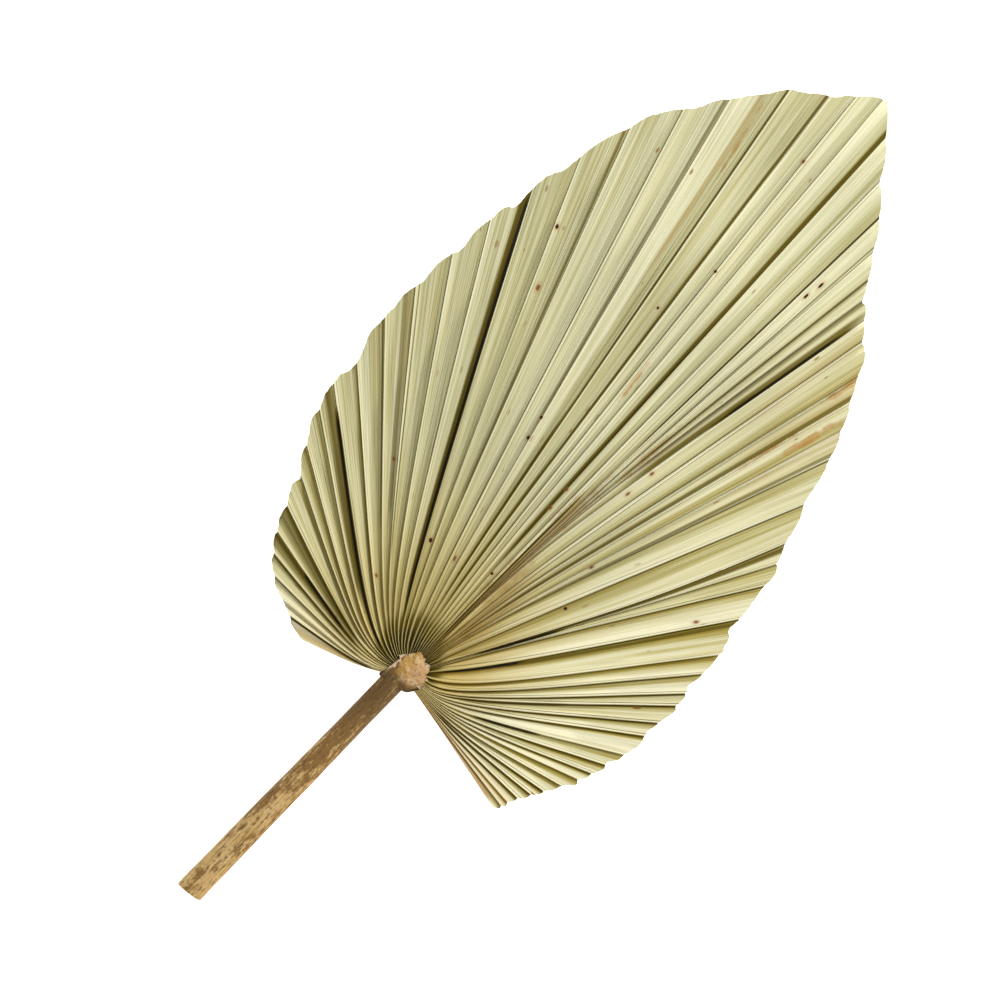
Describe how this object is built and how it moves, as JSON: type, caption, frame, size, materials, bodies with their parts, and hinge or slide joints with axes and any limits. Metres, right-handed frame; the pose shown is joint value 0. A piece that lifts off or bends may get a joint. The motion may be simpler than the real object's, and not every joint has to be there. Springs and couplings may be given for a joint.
{
  "type": "dried palm leaf",
  "caption": "Dried palm leaf: a pleated, pointed fan blade with a trimmed, scalloped edge on a short cut stalk, lying flat on three low places.",
  "frame": {"origin": "middle of the leaf's bounding box in plan, on the surface that it lies on", "axes": "+Y from the stalk's cut end to the tip, +X to the right seen from above, +Z out of the upper face"},
  "size_m": [0.2042, 0.4486, 0.0129],
  "materials": {
    "blade": "matt dry leaf, pale sage to cream with olive creases",
    "stalk": "matt dry fibre, mottled tan and brown"
  },
  "bodies": {
    "root": {"leaf_blade": "blade", "leaf_stalk": "stalk"}
  },
  "joints": []
}
